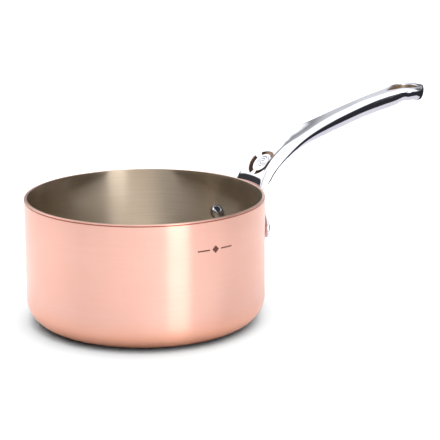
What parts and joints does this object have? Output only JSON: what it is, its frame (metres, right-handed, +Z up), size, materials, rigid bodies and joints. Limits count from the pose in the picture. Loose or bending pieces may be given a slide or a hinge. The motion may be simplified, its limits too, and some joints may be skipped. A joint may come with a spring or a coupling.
{
  "type": "saucepan",
  "caption": "Straight-sided round copper saucepan with a bonded stainless-steel lining and a long cast-steel handle, riveted on and ending in a hanging ring.",
  "frame": {"origin": "centre of the pan's flat underside", "axes": "+Z up, +X along the handle, +Y to the left of someone looking along the handle away from the pan"},
  "size_m": [0.3146, 0.164, 0.1423],
  "materials": {
    "copper": "fine brushed copper, satin, with a soft pink cast",
    "brushed_lining": "circumferentially brushed stainless steel",
    "polished_steel": "mirror-polished cast stainless steel",
    "rivet_steel": "polished stainless steel"
  },
  "bodies": {
    "root": {"copper_shell": "copper", "steel_lining": "brushed_lining", "handle": "polished_steel", "rivet_left": "rivet_steel", "rivet_right": "rivet_steel", "rivet_middle": "rivet_steel"}
  },
  "joints": []
}
